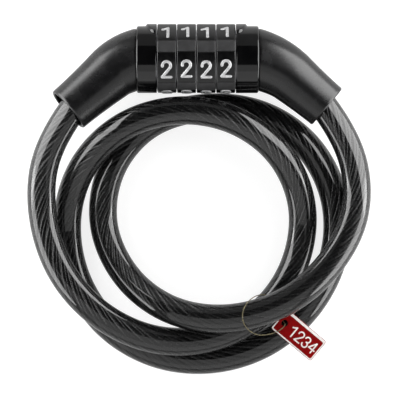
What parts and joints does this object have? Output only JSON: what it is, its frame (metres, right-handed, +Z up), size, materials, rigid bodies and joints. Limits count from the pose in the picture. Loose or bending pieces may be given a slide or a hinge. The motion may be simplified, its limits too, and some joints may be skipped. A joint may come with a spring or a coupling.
{
  "type": "combination cable lock",
  "caption": "Combination cable lock: a row of number dials between two bent sleeves, closed over the ends of a coiled plastic-covered steel cable, with a small hanging number tag.",
  "frame": {"origin": "middle of the lock head's outline, on the surface that the lock lies on", "axes": "+X along the head from its fixed end to its plug, +Y from the coil towards the head, +Z up"},
  "size_m": [0.1445, 0.1484, 0.0323],
  "materials": {
    "barrel_steel": "satin",
    "code_alloy": "satin",
    "plug_steel": "polished",
    "anchor_alloy": "as cast",
    "ferrule_alloy": "satin",
    "small_steel": "satin",
    "collar_black": "gloss",
    "dial_black": "semi-gloss",
    "sleeve_black": "satin",
    "jacket_smoky": "gloss",
    "strand_dark": "blackened",
    "thread_olive": "waxed",
    "tag_red": "semi-gloss"
  },
  "bodies": {
    "lock_body": {"lock_barrel": "barrel_steel", "collar_left": "collar_black", "anchor_left": "anchor_alloy", "anchor_pin_left": "barrel_steel", "ferrule_left": "ferrule_alloy", "ferrule_pin_left": "barrel_steel", "sleeve_left": "sleeve_black", "sleeve_clip_left": "small_steel", "dial_washers": "small_steel", "dial_retainer": "barrel_steel", "detent_balls": "small_steel", "detent_springs": "small_steel", "cable_jacket": "jacket_smoky", "cable_core": "strand_dark", "tag_thread": "thread_olive"},
    "dial_1": {"dial_1": "dial_black", "code_ring_1": "code_alloy"},
    "dial_2": {"dial_2": "dial_black", "code_ring_2": "code_alloy"},
    "dial_3": {"dial_3": "dial_black", "code_ring_3": "code_alloy"},
    "dial_4": {"dial_4": "dial_black", "code_ring_4": "code_alloy"},
    "plug": {"plug_pin": "plug_steel", "collar_right": "collar_black", "anchor_right": "anchor_alloy", "anchor_pin_right": "barrel_steel", "ferrule_right": "ferrule_alloy", "ferrule_pin_right": "barrel_steel", "sleeve_right": "sleeve_black", "sleeve_clip_right": "small_steel"},
    "tag": {"tag_plate": "tag_red"}
  },
  "joints": [
    {"name": "dial_1_turn", "type": "hinge", "parent": "lock_body", "child": "dial_1", "pos_m": [-0.01293, 0.00713, 0.01487], "axis": [1, 0, 0], "continuous": true},
    {"name": "dial_2_turn", "type": "hinge", "parent": "lock_body", "child": "dial_2", "pos_m": [-0.00463, 0.00713, 0.01487], "axis": [1, 0, 0], "continuous": true},
    {"name": "dial_3_turn", "type": "hinge", "parent": "lock_body", "child": "dial_3", "pos_m": [0.00367, 0.00713, 0.01487], "axis": [1, 0, 0], "continuous": true},
    {"name": "dial_4_turn", "type": "hinge", "parent": "lock_body", "child": "dial_4", "pos_m": [0.01197, 0.00713, 0.01487], "axis": [1, 0, 0], "continuous": true},
    {"name": "plug_slide", "type": "slide", "parent": "lock_body", "child": "plug", "axis": [1, 0, 0], "range_m": [0, 0.04], "deforming": ["cable_jacket", "cable_core"]},
    {"name": "tag_swivel", "type": "hinge", "parent": "lock_body", "child": "tag", "pos_m": [0.03702, -0.10477, 0.0133], "axis": [0, 0, 1], "range_deg": [-12, 12]}
  ]
}
